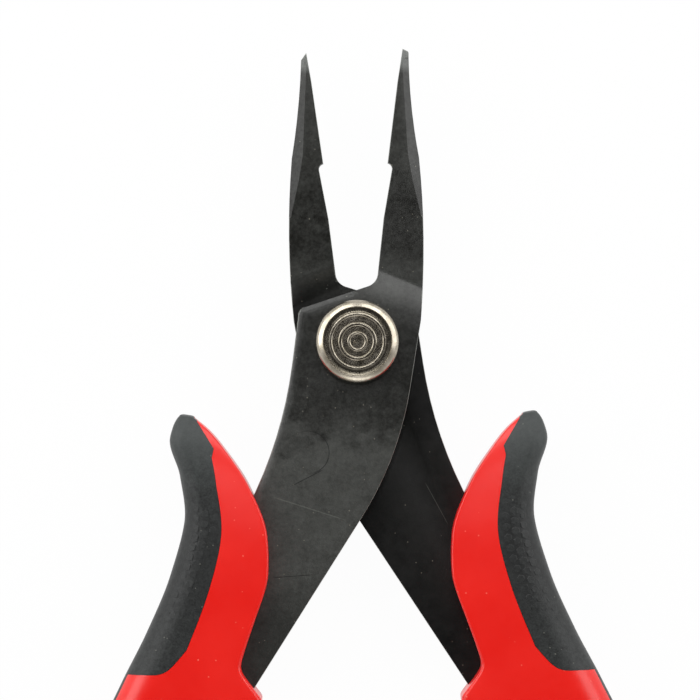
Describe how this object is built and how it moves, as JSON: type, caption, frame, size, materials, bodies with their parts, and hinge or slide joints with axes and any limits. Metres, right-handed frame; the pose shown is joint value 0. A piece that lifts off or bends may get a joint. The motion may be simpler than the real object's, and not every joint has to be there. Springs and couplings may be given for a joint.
{
  "type": "fine-nosed pliers",
  "caption": "Fine-nosed precision pliers: blanked steel levers in a lap joint under a ringed pivot head, with a wire return spring and horned hard-and-soft grips.",
  "frame": {"origin": "on the pivot axis, on the flat back of the pivot nut, which is also the bench plane under the grips' flat backs", "axes": "+Y from the pivot to the jaw tips, +Z from the pivot nut to the ringed screw head, +X to the side of the front lever's jaw"},
  "size_m": [0.0838, 0.1438, 0.011],
  "materials": {
    "blade_steel": "matt black oxide over blanked steel",
    "nickel_plate": "nickel plate, turned rings",
    "spring_steel": "drawn spring steel",
    "red_shell": "satin moulded hard plastic",
    "black_pad": "matt soft overmould, pebbled on the palm side"
  },
  "bodies": {
    "rear": {"rear_lever": "blade_steel", "right_grip_core": "red_shell", "right_grip_pad": "black_pad", "joint_washer": "spring_steel", "return_spring": "spring_steel"},
    "front": {"front_lever": "blade_steel", "left_grip_core": "red_shell", "left_grip_pad": "black_pad", "pivot_screw": "nickel_plate", "pivot_nut": "nickel_plate", "disc_spring": "spring_steel"}
  },
  "joints": [
    {"name": "jaw_pivot", "type": "hinge", "parent": "rear", "child": "front", "pos_m": [0, 0, 0.0055], "axis": [0, 0, 1], "range_deg": [0, 18.8], "stiffness_Nm_per_rad": 2, "deforming": ["return_spring"]}
  ]
}
